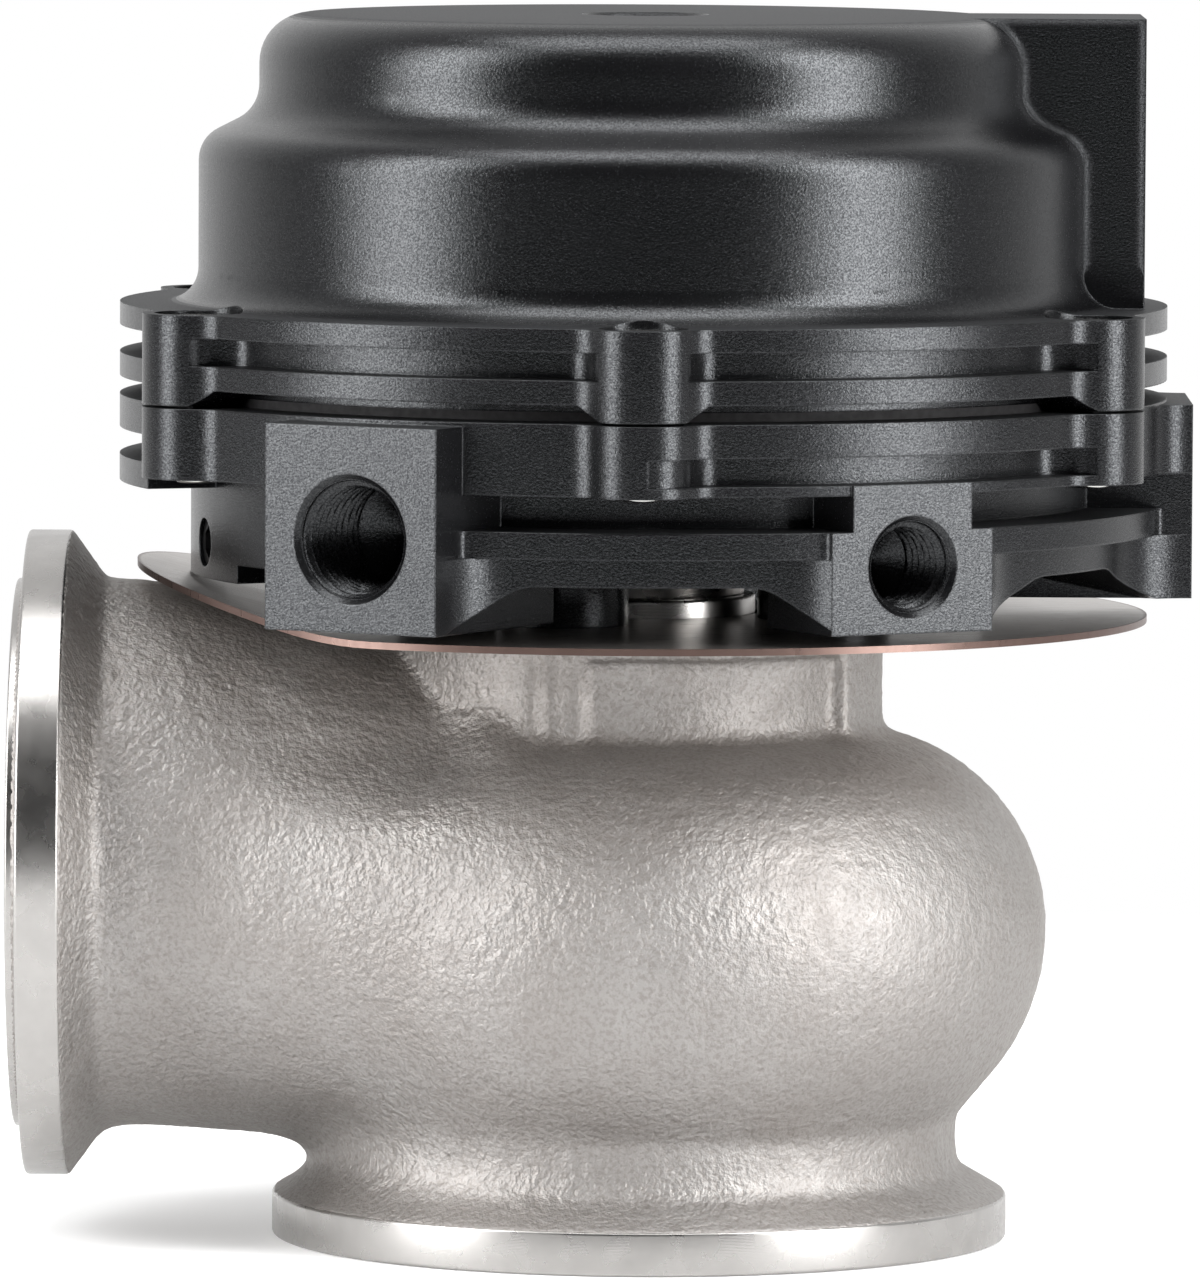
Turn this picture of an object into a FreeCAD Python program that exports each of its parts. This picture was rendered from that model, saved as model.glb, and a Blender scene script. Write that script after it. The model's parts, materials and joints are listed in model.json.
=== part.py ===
"""Turbo wastegate: a water-cooled diaphragm actuator on a cast steel poppet valve body with V-band flanges.

Row frame, millimetres: the origin is the centre of the inlet flange's face, +Z runs up the valve axis,
and the outlet points along -X. The valve lifts along +Z, off its seat, against two coil springs.
"""

import FreeCAD
import Part

import math
import os

V = FreeCAD.Vector
UP = V(0, 0, 1)
BIG = 200.0  # longer than the part, for cutting tools that run right through

# ---------------------------------------------------------------- driving dimensions
# Gas path
bore_radius = 22.0  # inlet and outlet bores
body_wall = 2.9  # cast wall of the valve chamber

# Inlet V-band flange
inlet_rim_radius = 32.5
inlet_rim_width = 3.8
inlet_neck_radius = 28.0
inlet_cone_height = 2.6
inlet_recess_depth = 1.2  # female pilot in the inlet face
inlet_recess_radius = 24.6

# Outlet V-band flange and pipe
outlet_axis_height = 33.6
outlet_reach = 54.2  # valve axis to the outlet flange's face
outlet_rim_radius = 28.5
outlet_rim_width = 3.8
outlet_cone_height = 3.0
outlet_pipe_radius = 24.7  # at the flange; the pipe tapers to pipe_end_radius
pipe_end_radius = 22.6
pipe_wall = 2.7
outlet_lip_radius = 24.2  # male pilot on the outlet face
outlet_lip_height = 1.0
pipe_straight = 7.0  # straight run behind the outlet flange's face
pipe_bend_radius = 60.0
pipe_bend_angle = 7.5  # degrees that the pipe dips towards the chamber
pipe_end_reach = 18.0  # the pipe's rounded end stands this far from the valve axis

# Valve chamber
chamber_radius = 35.9
chamber_mid_height = 27.5
crown_radius = 17.5
belly_radius = 20.0
belly_angle = 40.0  # degrees of belly arc below the chamber's widest level
chamber_blend = 4.0  # cast fillet where the pipe runs into the chamber
boss_radius = 10.5  # guide boss that hangs inside the chamber
boss_drop = 7.0

# Neck, with four holes for the body screws and recessed panels between them
neck_top = 54.7
neck_radius = 21.3
neck_outlet_radius = 22.9  # on the outlet's side
screw_circle = 17.4
screw_count = 4
screw_angle = 66.4  # degrees from +X to the first body screw
neck_lip = 2.3  # full-width rim above the panels
panel_radius = 19.9
panel_spread = 70.4  # degrees
screw_boss_radius = 4.7  # metal left round a screw hole inside the chamber
screw_boss_bottom = 43.0

# Valve
seat_height = 8.0  # underside of the seat ring above the inlet face
seat_ring_height = 5.0
seat_ring_radius = 25.0
seat_cone = 2.0  # width and height of the 45 degree seating cone
seat_bore = 21.0
seat_clearance = 0.05
valve_rim = 2.2  # cylindrical edge of the valve head
valve_edge = 0.25  # the head's rim stands inside the seat cone's outer edge
tulip_radius = 14.0
stem_radius = 4.0
stud_radius = 3.0  # threaded end of the stem
running_clearance = 0.04

# Stem guide and seal
guide_radius = 7.0
guide_overhang = 1.0  # guide below the boss
guide_flange_radius = 10.0
guide_flange_height = 2.2
carrier_radius = 9.0
carrier_height = 5.4
carrier_floor = 1.7
seal_radius = 6.6
seal_height = 2.4
clip_height = 0.8
o_ring_section = 0.6  # radius of the O-ring's cord
o_ring_clearance = 0.05
fit_clearance = 0.05  # radial, between fixed pieces that slip over each other
gasket_margin = 0.3  # a thin sheet's holes round what they let through

# Heat shield
shield_edge_gap = 2.8  # from the outlet flange's cone to the shield's edge
shield_thickness = 0.6
shield_bend_start = 23.2  # distance from the valve axis, towards the outlet
shield_bend_radius = 32.0
shield_bend_angle = 14.9

# Actuator housing and cap share one lobed joint
chamber_depth = 11.9  # of the diaphragm chamber in the housing, below the joint
flange_reach = 6.3  # from the wall out to the joint's rim
lobe_count = 6
lobe_inset = 1.7  # the lobes' centres stand this far inside the joint's rim
lobe_radius = 4.9
lobe_blend = 4.0
lobe_angle = 30.0  # degrees from +X to the first lobe

# Housing
housing_flange = 6.2  # thickness of the lobed flange
housing_wall = 3.6
leg_radius = 5.8
cooling_gap = 5.1  # open height between the heat shield and the housing's floor
floor_thickness = 2.2
hub_rise = 0.4  # central hub above the floor
hub_radius = 13.2
foot_gap = 1.1  # from the heat shield to the port blocks
ring_inset = 0.2  # the ring stands in from the joint's rim
ring_rise = 2.6  # top of the ring above the floor
ring_height = 2.3
ring_step = 2.4  # the lower band of the ring stands in by this much
ring_hollow = 0.8  # where the upper band runs into a port block
port_sink = 14.0  # the port blocks start this far inside the ring
arch_sink = 8.0  # the arches start this far inside the chamber bore
ring_blend = 8.0  # where the lower band runs into a port block
arch_corner = 5.0
arches = (  # openings under the base ring, with sloping ends
    {"angle": 270.0, "half": 16.9, "ramp": 6.5},
    {"angle": 330.0, "half": 16.3, "ramp": 10.0},
)
ring_from, ring_to = 240.0, 360.0  # degrees that the base ring spans
skirt_from, skirt_to = 178.0, 208.0  # degrees spanned by the wall that hangs below the floor beside the plug
skirt_gap = 3.5  # from the heat shield to that wall
groove_width = 2.4
groove_drop = 2.9  # from the joint down to the housing's cooling groove
fin_drop = 2.3  # extra fins stand this far below the groove
fin_margin = 9.0  # degrees from a lobe to the end of an extra fin
groove_depth = 2.8
groove_post = 4.2  # radius of metal left round a cap screw behind a groove
groove_post_blend = 3.0
groove_margin = 4.6  # degrees from a lobe to the end of a groove
front_groove_margin = 0.5  # the groove beside the air port starts this near the front lobe
gallery = {"inset": 1.9, "width": 3.2, "height": 2.9, "drop": 1.9}  # coolant gallery round the bore
gallery_riser = 1.3
fin_at = (60.0, 120.0, 180.0)

# Ports: taper pipe threads, held at the thread's major radius
coolant_thread_radius = 5.15
air_thread_radius = 3.97
port_chamfer = 0.45
passage_radius = 1.5
port_floor = 0.8  # metal left between a coolant port's drilled point and the diaphragm chamber
cap_port_depth = 10.5
air_port_depth = 7.6
top_port_depth = 6.0
front_port = {"angle": 240.0, "reach": 3.6, "half": 8.5, "rise": 1.8, "drop": 0.4, "foot": 0.0}
right_port = {"angle": 0.0, "reach": 2.0, "half": 9.0, "rise": 1.8, "drop": 0.2, "foot": 0.9}
air_port = {"angle": 300.0, "reach": 0.0, "half": 8.0, "rise": -0.5, "drop": 5.3, "foot": 0.0}
port_run = 6.3  # below the floor the coolant ports' blocks run this far inside the chamber's bore
right_port_blend = 4.0  # hollow between the right port's block and the flange
air_port_shoulder = 5.9  # half width of the air port's block above the base ring
air_passage_rise = 1.8
plug_radius = 2.1
plug_length = 2.6
plug_angle, plug_drop = 196.0, 0.7
plug_recess = 0.4
plug_socket = 1.25  # half the socket's width across flats

# Cap
cap_flange = 8.1
cap_relief = 1.6  # open gap between the two flanges, between lobes
relief_pad = 3.4  # half width of the cap's foot at a lobe
relief_ramp = 2.2
lobe_gap = 0.25  # fine gap between the lobes' outer edges
lobe_gap_depth = 2.4
cap_groove_rise = 3.7  # from the joint up to the cap's cooling groove
cap_height = 33.5
cap_wall = 3.0
spring_room = 3.0  # radial, between the outer spring and the upper dome's inside
shoulder_rise = 22.4  # the sloping shoulder between the two domes starts this far above the joint
shoulder_height = 2.7
dome_foot_fillet = 3.0
shoulder_fillet = 3.0
dome_hollow_fillet = 3.4
crown_fillet = 4.4
cap_block_inset = 2.3  # the cap's block stands this far inside the joint's rim
cap_block_root = 12.0  # how far the block reaches in from the upper dome's wall
cap_block_half = 8.0
cap_block_blend = 2.0
cap_port_rise = 20.8
port_boss_wall = 2.2
top_boss_radius = 8.6
top_boss_drop = 5.0

# Diaphragm and moving plates
diaphragm_thickness = 0.8
diaphragm_rim = 42.0
plate_gap = 1.0  # from the housing's floor to the plate under the diaphragm, valve closed
diaphragm_margin = 1.7  # from the piston's rim to where the roll starts
diaphragm_roll = 4.7
diaphragm_gap = 1.7  # from the roll to the chamber's bore
diaphragm_fillet = 0.9
plate_inset = 0.2  # the retainer plate stands in from the piston's rim
plate_thickness = 2.0
piston_edge = 0.2  # the piston stands out this far round the outer spring
piston_base = 2.5
piston_hub_radius = 9.5
piston_hub_rise = 1.6
spring_guide_gap = 2.5
spring_guide_wall = 1.8
spring_guide_rise = 3.2
stud_length = 14.4

# Springs
outer_spring = {"radius": 26.0, "wire": 2.0, "turns": 5.0}
inner_spring = {"radius": 15.5, "wire": 1.5, "turns": 6.5}
spring_shim_thickness = 1.0

# Fasteners
cap_screw = {"shank": 2.0, "head": 3.5, "head_height": 4.0, "socket": 3.0, "length": 10.4}
body_screw = {"shank": 2.5, "head": 4.25, "head_height": 5.0, "socket": 4.0, "length": 12.0}
socket_depth = 0.55  # of the head's height
screw_sink = 0.3  # the cap screws' heads stand this far below the flange
body_screw_rise = 3.2  # seat of the body screws above the neck
screw_clearance = 0.1
head_clearance = 0.35
nut_flats, nut_height = 10.0, 5.0
washer_radius, washer_height = 6.2, 1.0

# ---------------------------------------------------------------- derived stations
seat_top = seat_height + seat_ring_height
chamber_roof = chamber_mid_height + crown_radius
shield_top = neck_top + shield_thickness
shield_radius = outlet_reach - outlet_rim_width - outlet_cone_height - shield_edge_gap
piston_radius = outer_spring["radius"] + outer_spring["wire"] + piston_edge
plate_radius = piston_radius - plate_inset
spring_guide_radius = outer_spring["radius"] - outer_spring["wire"] - spring_guide_gap
diaphragm_flat = piston_radius + diaphragm_margin
diaphragm_throat = diaphragm_flat + diaphragm_roll
chamber_bore = diaphragm_throat + diaphragm_gap
housing_wall_radius = chamber_bore + housing_wall
joint_radius = housing_wall_radius + flange_reach
gallery_inner = chamber_bore + gallery["inset"]
gallery_outer = gallery_inner + gallery["width"]
port_inner = chamber_bore - port_run
cap_block_face = joint_radius - cap_block_inset
for port in (front_port, right_port, air_port):
    port["face"] = joint_radius + port["reach"]
lobe_circle = joint_radius - lobe_inset
groove_floor = joint_radius - groove_depth
ring_radius = joint_radius - ring_inset
port_root = ring_radius - port_sink
arch_root = chamber_bore - arch_sink
lower_dome_radius = chamber_bore + cap_wall
upper_dome_radius = outer_spring["radius"] + outer_spring["wire"] + spring_room + cap_wall
floor_underside = shield_top + cooling_gap
floor_top = floor_underside + floor_thickness
joint_height = floor_top + chamber_depth
foot_height = shield_top + foot_gap
ring_top = floor_top + ring_rise
housing_groove = (joint_height - groove_drop - groove_width, joint_height - groove_drop)
low_fin = (housing_groove[0] - fin_drop, housing_groove[0])
cap_groove = (joint_height + cap_groove_rise, joint_height + cap_groove_rise + groove_width)
gallery_top = joint_height - gallery["drop"]
gallery_bottom = gallery_top - gallery["height"]
plug_height = floor_top - plug_drop
cap_top = joint_height + cap_height
shoulder_foot = joint_height + shoulder_rise
shoulder_head = shoulder_foot + shoulder_height
cap_port_height = joint_height + cap_port_rise
body_screw_seat = neck_top + body_screw_rise
guide_flange_top = neck_top + guide_flange_height
carrier_top = guide_flange_top + carrier_height
diaphragm_top = joint_height + diaphragm_thickness
cap_flange_top = joint_height + cap_flange
flange_underside = joint_height - housing_flange
plate_bottom = floor_top + plate_gap
centre_clamp_bottom = plate_bottom + plate_thickness
centre_clamp_top = centre_clamp_bottom + diaphragm_thickness
piston_top = centre_clamp_top + piston_base
piston_hub_top = piston_top + piston_hub_rise
spring_roof = cap_top - cap_wall
segment = 360.0 / lobe_count


# ---------------------------------------------------------------- shape helpers
def polar(radius, degrees, height=0.0):
    angle = math.radians(degrees)
    return V(radius * math.cos(angle), radius * math.sin(angle), height)


def cylinder(radius, bottom, top, centre=V(0, 0, 0)):
    return Part.makeCylinder(radius, top - bottom, V(centre.x, centre.y, bottom), UP)


def box(low, high):
    size = V(*high) - V(*low)
    return Part.makeBox(size.x, size.y, size.z, V(*low))


def rounded_wire(corners, place):
    """Closed wire through corners (u, v, radius), each rounded by an arc. place maps (u, v) to a point."""
    stops = []
    for i, (u, v, radius) in enumerate(corners):
        here = V(u, v, 0)
        back = V(*corners[i - 1][:2], 0) - here
        ahead = V(*corners[(i + 1) % len(corners)][:2], 0) - here
        if not radius:
            stops.append((here, None, here))
            continue
        back.normalize()
        ahead.normalize()
        half = back.getAngle(ahead) / 2
        reach = radius / math.tan(half)
        inward = (back + ahead).normalize()
        centre = here + inward * (radius / math.sin(half))
        stops.append((here + back * reach, centre - inward * radius, here + ahead * reach))
    edges = []
    for i, (start, middle, end) in enumerate(stops):
        if middle:
            arc = [place(p.x, p.y) for p in (start, middle, end)]
            edges.append(Part.Arc(*arc).toShape())
        following = stops[(i + 1) % len(stops)][0]
        if (following - end).Length > 1e-6:
            edges.append(Part.LineSegment(place(end.x, end.y), place(following.x, following.y)).toShape())
    return Part.Wire(edges)


def turned(corners, degrees=360.0, start=0.0):
    """Solid of revolution about Z from corners (radius, height, fillet)."""
    face = Part.Face(rounded_wire(corners, lambda u, v: V(u, 0, v)))
    solid = face.revolve(V(0, 0, 0), UP, degrees)
    solid.rotate(V(0, 0, 0), UP, start)
    return solid


def sector(inner, outer, bottom, top, middle, spread):
    """Ring sector centred on the angle middle, spread degrees wide."""
    corners = [(inner, bottom, 0), (outer, bottom, 0), (outer, top, 0), (inner, top, 0)]
    return turned(corners, spread, middle - spread / 2)


def lobed_wire(disc, circle, lobe, blend, count, first, height):
    """Outline of a disc with round lobes, each blended into it by tangent hollows."""
    reach, span = disc + blend, lobe + blend
    swing = math.degrees(math.acos((reach**2 + circle**2 - span**2) / (2 * reach * circle)))
    edges = []
    step = 360.0 / count
    for i in range(count):
        angle = first + i * step
        centre = polar(circle, angle, height)
        hollows = [polar(reach, angle - swing, height), polar(reach, angle + swing, height)]
        on_disc = [polar(disc, angle - swing, height), polar(disc, angle + swing, height)]
        on_lobe = [centre + (h - centre).normalize() * lobe for h in hollows]
        waist = [h + (a - h + b - h).normalize() * blend for h, a, b in zip(hollows, on_disc, on_lobe)]
        edges.append(Part.Arc(on_disc[0], waist[0], on_lobe[0]).toShape())
        edges.append(Part.Arc(on_lobe[0], polar(circle + lobe, angle, height), on_lobe[1]).toShape())
        edges.append(Part.Arc(on_lobe[1], waist[1], on_disc[1]).toShape())
        next_start = polar(disc, angle + step - swing, height)
        edges.append(Part.Arc(on_disc[1], polar(disc, angle + step / 2, height), next_start).toShape())
    return Part.Wire(edges)


def lobed_prism(disc, circle, lobe, blend, count, first, bottom, top):
    wire = lobed_wire(disc, circle, lobe, blend, count, first, bottom)
    return Part.Face(wire).extrude(V(0, 0, top - bottom))


def around(count, first, step=None):
    step = step or 360.0 / count
    return [first + i * step for i in range(count)]


def fuse(shapes):
    return shapes[0].multiFuse(shapes[1:]).removeSplitter()


def group(solids):
    return Part.makeCompound(solids)


def radial_block(angle, inner, outer, half, bottom, top, flare=0.0):
    """Box that runs out from the axis at an angle; flare widens its top on both sides."""
    corners = [(-half, bottom, 0), (half, bottom, 0), (half + flare, top, 0), (-half - flare, top, 0)]
    return radial_prism(angle, inner, outer, corners)


def radial_prism(angle, inner, outer, corners):
    """Bar with the section corners (across, height, radius) that runs out from the axis at an angle."""
    face = Part.Face(rounded_wire(corners, lambda u, v: V(inner, u, v)))
    block = face.extrude(V(outer - inner, 0, 0))
    block.rotate(V(0, 0, 0), UP, angle)
    return block


def drill_point(radius):
    return radius * math.tan(math.radians(31))


def radial_hole(angle, height, radius, mouth, depth, chamfer=0.0):
    """Blind hole bored towards the axis from radius mouth, with a drilled point and, if asked, a chamfer."""
    point = drill_point(radius)
    corners = [(0, -depth - point, 0), (radius, -depth, 0)]
    corners += [(radius, -chamfer, 0), (radius + chamfer, 0, 0), (radius + chamfer, 5, 0), (0, 5, 0)]
    if not chamfer:
        corners = [(0, -depth - point, 0), (radius, -depth, 0), (radius, 5, 0), (0, 5, 0)]
    hole = turned(corners)
    hole.rotate(V(0, 0, 0), V(0, 1, 0), 90)
    hole.translate(V(mouth, 0, height))
    hole.rotate(V(0, 0, 0), UP, angle)
    return hole


def plan_disc(radius):
    return Part.Face(Part.Wire(Part.makeCircle(radius, V(0, 0, 0), UP)))


def plan_block(angle, inner, outer, half):
    corners = [V(inner, -half, 0), V(outer, -half, 0), V(outer, half, 0), V(inner, half, 0)]
    face = Part.Face(Part.makePolygon(corners + corners[:1]))
    face.rotate(V(0, 0, 0), UP, angle)
    return face


def hollowed_plan(faces, radius):
    """One outline round several flat faces, with its inner corners rounded."""
    outline = fuse(faces).Faces[0]
    return outline.makeOffset2D(radius).makeOffset2D(-radius)


def raised(face, bottom, top):
    solid = face.extrude(V(0, 0, top - bottom))
    solid.translate(V(0, 0, bottom))
    return solid


# ---------------------------------------------------------------- valve body
def pipe_route():
    """Centreline of the outlet pipe, from the flange's face to the rounded end near the valve axis."""
    bend = math.radians(pipe_bend_angle)
    start = V(-outlet_reach, 0, outlet_axis_height)
    straight_end = start + V(pipe_straight, 0, 0)

    def on_bend(angle):
        return straight_end + V(math.sin(angle), 0, math.cos(angle) - 1) * pipe_bend_radius

    heading = V(math.cos(bend), 0, -math.sin(bend))
    bend_end = on_bend(bend)
    end = bend_end + heading * ((-pipe_end_reach - bend_end.x) / heading.x)
    edges = [
        Part.LineSegment(start, straight_end).toShape(),
        Part.Arc(straight_end, on_bend(bend / 2), bend_end).toShape(),
        Part.LineSegment(bend_end, end).toShape(),
    ]
    return Part.Wire(edges), start, end, heading


def pipe_solid(start_radius, end_radius):
    """Tapered round bar along the outlet pipe's centreline, and the ball at its inner end."""
    route, start, end, heading = pipe_route()
    mouth = Part.Wire(Part.makeCircle(start_radius, start, V(1, 0, 0)))
    finish = Part.Wire(Part.makeCircle(end_radius, end, heading))
    bar = route.makePipeShell([mouth, finish], True, False)
    return fuse([bar, Part.makeSphere(end_radius, end)])


def chamber_solid(inset, bottom):
    """Bulb of the valve chamber, drawn in by inset, from a level bottom up to its crown."""
    top_radius = crown_radius - inset
    low_radius = belly_radius - inset
    widest = chamber_radius - inset
    crown_centre = V(widest - top_radius, 0, chamber_mid_height)
    belly_centre = V(widest - low_radius, 0, chamber_mid_height)
    turn = math.radians(belly_angle)

    def on(centre, radius, angle):
        return centre + V(math.cos(angle), 0, math.sin(angle)) * radius

    crown_end = on(crown_centre, top_radius, math.pi / 2)
    equator = on(crown_centre, top_radius, 0)
    belly_end = on(belly_centre, low_radius, -turn)
    foot_radius = inlet_neck_radius - inset
    slope = (belly_end.x - foot_radius) / math.tan(turn)
    foot = V(foot_radius, 0, max(bottom + 0.1, belly_end.z - slope))
    axis_top = V(0, 0, crown_end.z)
    edges = [
        Part.LineSegment(axis_top, crown_end).toShape(),
        Part.Arc(crown_end, on(crown_centre, top_radius, math.pi / 4), equator).toShape(),
        Part.Arc(equator, on(belly_centre, low_radius, -turn / 2), belly_end).toShape(),
    ]
    outline = [belly_end, foot, V(foot.x, 0, bottom), V(0, 0, bottom), axis_top]
    edges += [Part.LineSegment(a, b).toShape() for a, b in zip(outline, outline[1:])]
    return Part.Face(Part.Wire(edges)).revolve(V(0, 0, 0), UP, 360)


def neck_solid():
    """Round neck, wider on the outlet's side, with a recessed panel at its front and its back."""
    bottom = chamber_roof - 5
    step = 360.0 / screw_count
    outlet_side = sector(1.0, neck_outlet_radius, bottom, neck_top, screw_angle + 1.5 * step, step)
    neck = fuse([cylinder(neck_radius, bottom, neck_top), outlet_side])
    panels = [
        sector(panel_radius, BIG, 0, neck_top - neck_lip, screw_angle + side * step, panel_spread)
        for side in (0.5, 2.5)
    ]
    return neck.cut(panels)


def v_flange(rim, width, cone, root):
    """V-band flange about Z with its face at the origin and its cone running up to the root radius."""
    edge = 0.3
    corners = [(0, 0, 0), (rim, 0, edge), (rim, width, edge), (root, width + cone, 0), (0, width + cone, 0)]
    return turned(corners)


def outlet_flange():
    root = outlet_pipe_radius - 0.4
    flange = v_flange(outlet_rim_radius, outlet_rim_width, outlet_cone_height, root)
    lip = cylinder(outlet_lip_radius, -outlet_lip_height, 0)
    flange = flange.fuse(lip)
    flange.rotate(V(0, 0, 0), V(0, 1, 0), 90)
    flange.translate(V(-outlet_reach, 0, outlet_axis_height))
    return flange


def seam(shape, first, second):
    """Edges of the fused shape that lie on both solids' skins."""
    found = []
    for edge in shape.Edges:
        middle = edge.valueAt((edge.FirstParameter + edge.LastParameter) / 2)
        vertex = Part.Vertex(middle)
        if all(solid.Shells[0].distToShape(vertex)[0] < 1e-3 for solid in (first, second)):
            found.append(edge)
    return found


def filleted(shape, edges, radius):
    """Shape with the edges filleted, at the largest radius up to the one asked for that the corner holds."""
    while radius > 0.5:
        try:
            result = shape.makeFillet(radius, edges)
            if result.isValid():
                return result
        except Part.OCCError:
            pass
        radius *= 0.8
    return shape


def valve_body():
    pipe = pipe_solid(outlet_pipe_radius, pipe_end_radius)
    bulb = chamber_solid(0.0, inlet_rim_width)
    neck = neck_solid()
    cast = fuse([bulb, pipe])
    cast = filleted(cast, seam(cast, bulb, pipe), chamber_blend)
    shell = fuse([cast, neck])
    inlet = v_flange(inlet_rim_radius, inlet_rim_width, inlet_cone_height, inlet_neck_radius)
    shell = fuse([shell, inlet, outlet_flange()])

    mouth_start = V(-outlet_reach - outlet_lip_height - 1, 0, outlet_axis_height)
    mouth = Part.makeCylinder(bore_radius, outlet_lip_height + 1.01, mouth_start, V(1, 0, 0))
    passage = pipe_solid(bore_radius, pipe_end_radius - pipe_wall)
    cavity = fuse([chamber_solid(body_wall, seat_top), passage])
    guide_boss = cylinder(boss_radius, chamber_roof - body_wall - boss_drop, BIG)
    screw_bosses = [
        cylinder(screw_boss_radius, screw_boss_bottom, BIG, polar(screw_circle, angle))
        for angle in around(screw_count, screw_angle)
    ]
    cavity = cavity.cut([guide_boss] + screw_bosses)
    tools = [
        cavity,
        mouth,
        cylinder(seat_ring_radius + fit_clearance, seat_height, seat_top + 0.01),
        cylinder(bore_radius, -1, seat_height + 0.01),
        cylinder(inlet_recess_radius, -1, inlet_recess_depth),
        cylinder(guide_radius + fit_clearance, seat_top, BIG),
    ]
    hole_bottom = body_screw_seat - body_screw["length"] - 0.8
    for angle in around(screw_count, screw_angle):
        shank = body_screw["shank"] + screw_clearance
        tools.append(cylinder(shank, hole_bottom, BIG, polar(screw_circle, angle)))
    return shell.cut(tools)



# ---------------------------------------------------------------- valve, seat, guide and seal
def cone_radius(height):
    """Radius of the seat's 45 degree cone at a height."""
    return seat_bore + height - (seat_top - seat_cone)


def valve_seat():
    corners = [
        (seat_bore, seat_height, 0),
        (seat_ring_radius, seat_height, 0),
        (seat_ring_radius, seat_top, 0),
        (cone_radius(seat_top), seat_top, 0),
        (seat_bore, seat_top - seat_cone, 0),
    ]
    return turned(corners)


def valve():
    """Poppet valve: seating cone, tulip, stem, shoulder and threaded stud."""
    inset = seat_clearance * math.sqrt(2)
    face_bottom = seat_top - seat_cone - 0.1
    face_top = seat_top - valve_edge
    rim_radius = cone_radius(face_top) - inset
    rim_top = face_top + valve_rim
    stud_top = plate_bottom + stud_length
    corners = [
        (0, face_bottom, 0),
        (cone_radius(face_bottom) - inset, face_bottom, 0),
        (rim_radius, face_top, 0),
        (rim_radius, rim_top, 0.5),
        (tulip_radius, rim_top + 0.4, 0),
        (stem_radius, rim_top + 0.8, tulip_radius / 2),
        (stem_radius, plate_bottom, 0),
        (stud_radius, plate_bottom, 0),
        (stud_radius, stud_top, 0.5),
        (0, stud_top, 0),
    ]
    return turned(corners)


def stem_guide():
    bottom = chamber_roof - body_wall - boss_drop - guide_overhang
    corners = [
        (stem_radius + running_clearance, bottom, 0.3),
        (guide_radius, bottom, 0.5),
        (guide_radius, neck_top, 0),
        (guide_flange_radius, neck_top, 0),
        (guide_flange_radius, guide_flange_top, 0.3),
        (stem_radius + running_clearance, guide_flange_top, 0),
    ]
    return turned(corners)


def o_ring_groove():
    """Bottom, top and floor radius of the carrier's O-ring groove, level with the housing's floor."""
    middle = (floor_underside + floor_top) / 2
    half = o_ring_section + o_ring_clearance
    return middle - half, middle + half, carrier_radius - 2 * half


def seal_carrier():
    """Steel collar round the stem, with a pocket for the stem seal and an outer groove for the O-ring."""
    shelf = guide_flange_top + carrier_floor
    bore = stem_radius + 0.3
    low, high, floor_radius = o_ring_groove()
    corners = [
        (bore, guide_flange_top, 0),
        (carrier_radius, guide_flange_top, 0.2),
        (carrier_radius, low, 0),
        (floor_radius, low, 0),
        (floor_radius, high, 0),
        (carrier_radius, high, 0),
        (carrier_radius, carrier_top, 0.2),
        (seal_radius, carrier_top, 0),
        (seal_radius, shelf, 0),
        (bore, shelf, 0),
    ]
    return turned(corners)


def stem_seal():
    """Lip seal in the carrier's pocket."""
    bottom = guide_flange_top + carrier_floor
    inner = stem_radius + running_clearance
    corners = [
        (inner + 0.9, bottom, 0),
        (seal_radius - fit_clearance, bottom, 0),
        (seal_radius - fit_clearance, bottom + seal_height, 0),
        (inner + 0.4, bottom + seal_height, 0),
        (inner, bottom + seal_height / 2, 0),
    ]
    return turned(corners)


def seal_clip():
    """Split ring that holds the stem seal down."""
    bottom = guide_flange_top + carrier_floor + seal_height
    outer = seal_radius - fit_clearance
    ring = cylinder(outer, bottom, bottom + clip_height).cut(cylinder(outer - 1.4, bottom - 1, bottom + 2))
    gap = box((0, -0.8, bottom - 1), (outer + 1, 0.8, bottom + 2))
    return ring.cut(gap)


def carrier_o_ring():
    low, high, floor_radius = o_ring_groove()
    ring_middle = floor_radius + o_ring_clearance + o_ring_section
    return Part.makeTorus(ring_middle, o_ring_section, V(0, 0, (low + high) / 2), UP)


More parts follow.
